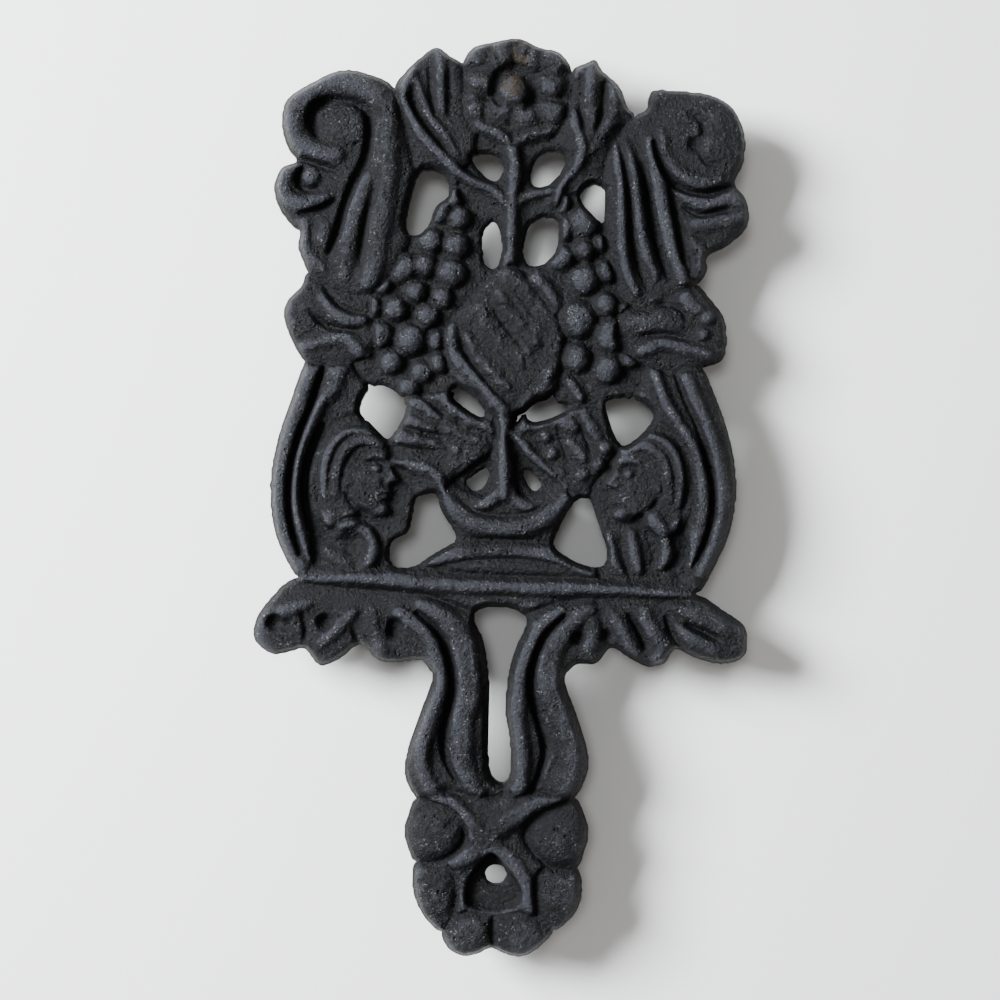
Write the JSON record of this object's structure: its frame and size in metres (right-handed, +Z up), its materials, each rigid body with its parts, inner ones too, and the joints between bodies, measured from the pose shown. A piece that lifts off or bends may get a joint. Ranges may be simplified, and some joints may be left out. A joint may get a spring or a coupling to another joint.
{
  "type": "handled cast-iron trivet",
  "caption": "Openwork cast-iron trivet with a long handle: leaf, berry and scroll ornament, paired profile heads, a hanging eye and short pegs.",
  "frame": {"origin": "centre of the bounding box in plan, on the plane that the pegs stand on", "axes": "+X to the right and +Y away from the handle, seen from above; +Z up, out of the ornamented face"},
  "size_m": [0.1162, 0.216, 0.0185],
  "materials": {
    "cast_iron": "black, seasoned, sand-cast grain, satin",
    "cast_iron_worn": "black with a little brown rust on the high points",
    "cast_iron_pegs": "black, rubbed to grey on the ends"
  },
  "bodies": {
    "root": {"crest_flower": "cast_iron_worn", "crest_leaf_left": "cast_iron", "crest_leaf_right": "cast_iron", "crest_stem": "cast_iron", "volute_left": "cast_iron", "volute_right": "cast_iron", "side_leaf_left": "cast_iron", "side_leaf_right": "cast_iron", "berries_left": "cast_iron", "berries_right": "cast_iron", "centre_fruit": "cast_iron", "fan_leaf_left": "cast_iron", "fan_leaf_right": "cast_iron", "side_scroll_left": "cast_iron", "side_scroll_right": "cast_iron", "head_left": "cast_iron", "head_right": "cast_iron", "collar_left": "cast_iron", "collar_right": "cast_iron", "bowl": "cast_iron", "bowl_foot": "cast_iron", "shelf": "cast_iron", "apron_left": "cast_iron", "apron_right": "cast_iron", "handle_rail_left": "cast_iron", "handle_rail_right": "cast_iron", "handle_knot": "cast_iron", "boss_left": "cast_iron", "boss_right": "cast_iron", "hang_eye": "cast_iron", "end_petal_left": "cast_iron", "end_petal_right": "cast_iron", "end_petals_tip": "cast_iron", "peg_back_left": "cast_iron_pegs", "peg_back_right": "cast_iron_pegs", "peg_front_left": "cast_iron_pegs", "peg_front_right": "cast_iron_pegs"}
  },
  "joints": []
}
